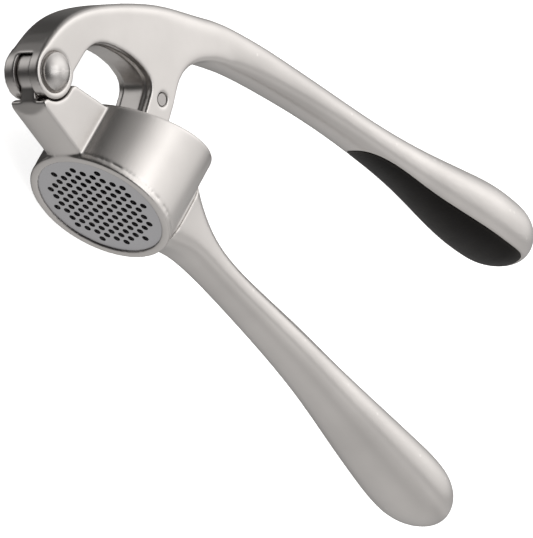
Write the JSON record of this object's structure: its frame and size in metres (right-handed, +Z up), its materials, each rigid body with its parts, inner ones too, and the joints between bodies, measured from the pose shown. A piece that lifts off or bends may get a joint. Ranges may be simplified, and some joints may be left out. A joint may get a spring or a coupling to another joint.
{
  "type": "garlic press",
  "caption": "Hinged garlic press with a round perforated hopper, a lever arm that drives a pivoting plunger into it, and a soft grip inlay.",
  "frame": {"origin": "bottom centre of the press lying on its side, at its rest opening", "axes": "+X from the hinge to the handle ends, +Y from the screen to the hopper's mouth, +Z up along the hinge pin"},
  "size_m": [0.1986, 0.1126, 0.0362],
  "materials": {
    "satin_metal": null,
    "stainless": "brushed",
    "pin_metal": "satin, domed head",
    "soft_grip": "matte soft-touch"
  },
  "bodies": {
    "base": {"hopper": "satin_metal", "screen_plate": "stainless", "lower_handle": "satin_metal"},
    "lever": {"upper_handle": "satin_metal", "grip_insert": "soft_grip", "hinge_pin": "pin_metal", "hinge_pin_cap": "pin_metal", "plunger_pin": "stainless"},
    "plunger": {"plunger": "satin_metal"}
  },
  "joints": [
    {"name": "handle_hinge", "type": "hinge", "parent": "base", "child": "lever", "pos_m": [-0.09289, -0.04648, 0.0181], "axis": [0, 0, 1], "range_deg": [-16.7, 82]},
    {"name": "plunger_pivot", "type": "hinge", "parent": "lever", "child": "plunger", "pos_m": [-0.06029, -0.02528, 0.0181], "axis": [0, 0, 1], "range_deg": [-5, 1.1]}
  ],
  "couplings": [
    {"joint": "plunger_pivot", "follows": "handle_hinge", "ratio": -0.06}
  ]
}
